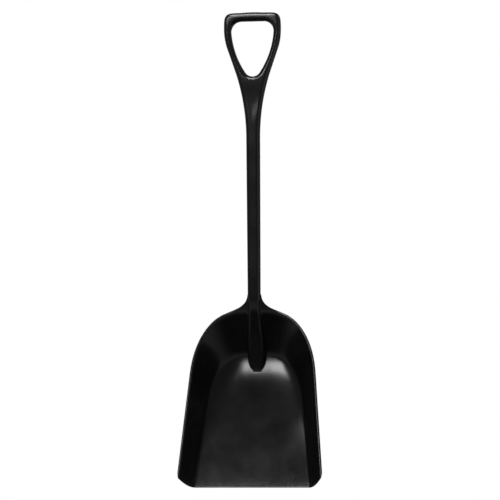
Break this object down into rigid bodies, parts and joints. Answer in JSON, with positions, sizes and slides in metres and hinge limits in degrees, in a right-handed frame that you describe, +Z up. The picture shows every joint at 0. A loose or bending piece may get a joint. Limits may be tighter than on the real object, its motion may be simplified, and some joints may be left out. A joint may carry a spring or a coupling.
{
  "type": "grain scoop shovel",
  "caption": "Black plastic grain scoop shovel: broad dished pan with sloping walls, straight shaft rooted in a ridge, D-shaped hand grip.",
  "frame": {"origin": "middle of the hand bar's underside, where a hook in the finger window bears", "axes": "+X to the right seen from the pan's hollow side, +Y towards the back, away from the hollow side, +Z up the handle from the pan to the hand bar"},
  "size_m": [0.3228, 0.1598, 1.0707],
  "materials": {
    "black_polypropylene": "satin black moulded polypropylene, slightly grained, with light scuffs on the floor of the pan and on the edges"
  },
  "bodies": {
    "root": {"pan": "black_polypropylene", "front_lip": "black_polypropylene", "rim_bead_left": "black_polypropylene", "rim_bead_right": "black_polypropylene", "inner_ridge": "black_polypropylene", "back_spine": "black_polypropylene", "shaft": "black_polypropylene", "grip_yoke": "black_polypropylene", "grip_arm_left": "black_polypropylene", "grip_arm_right": "black_polypropylene", "hand_bar": "black_polypropylene"}
  },
  "joints": []
}
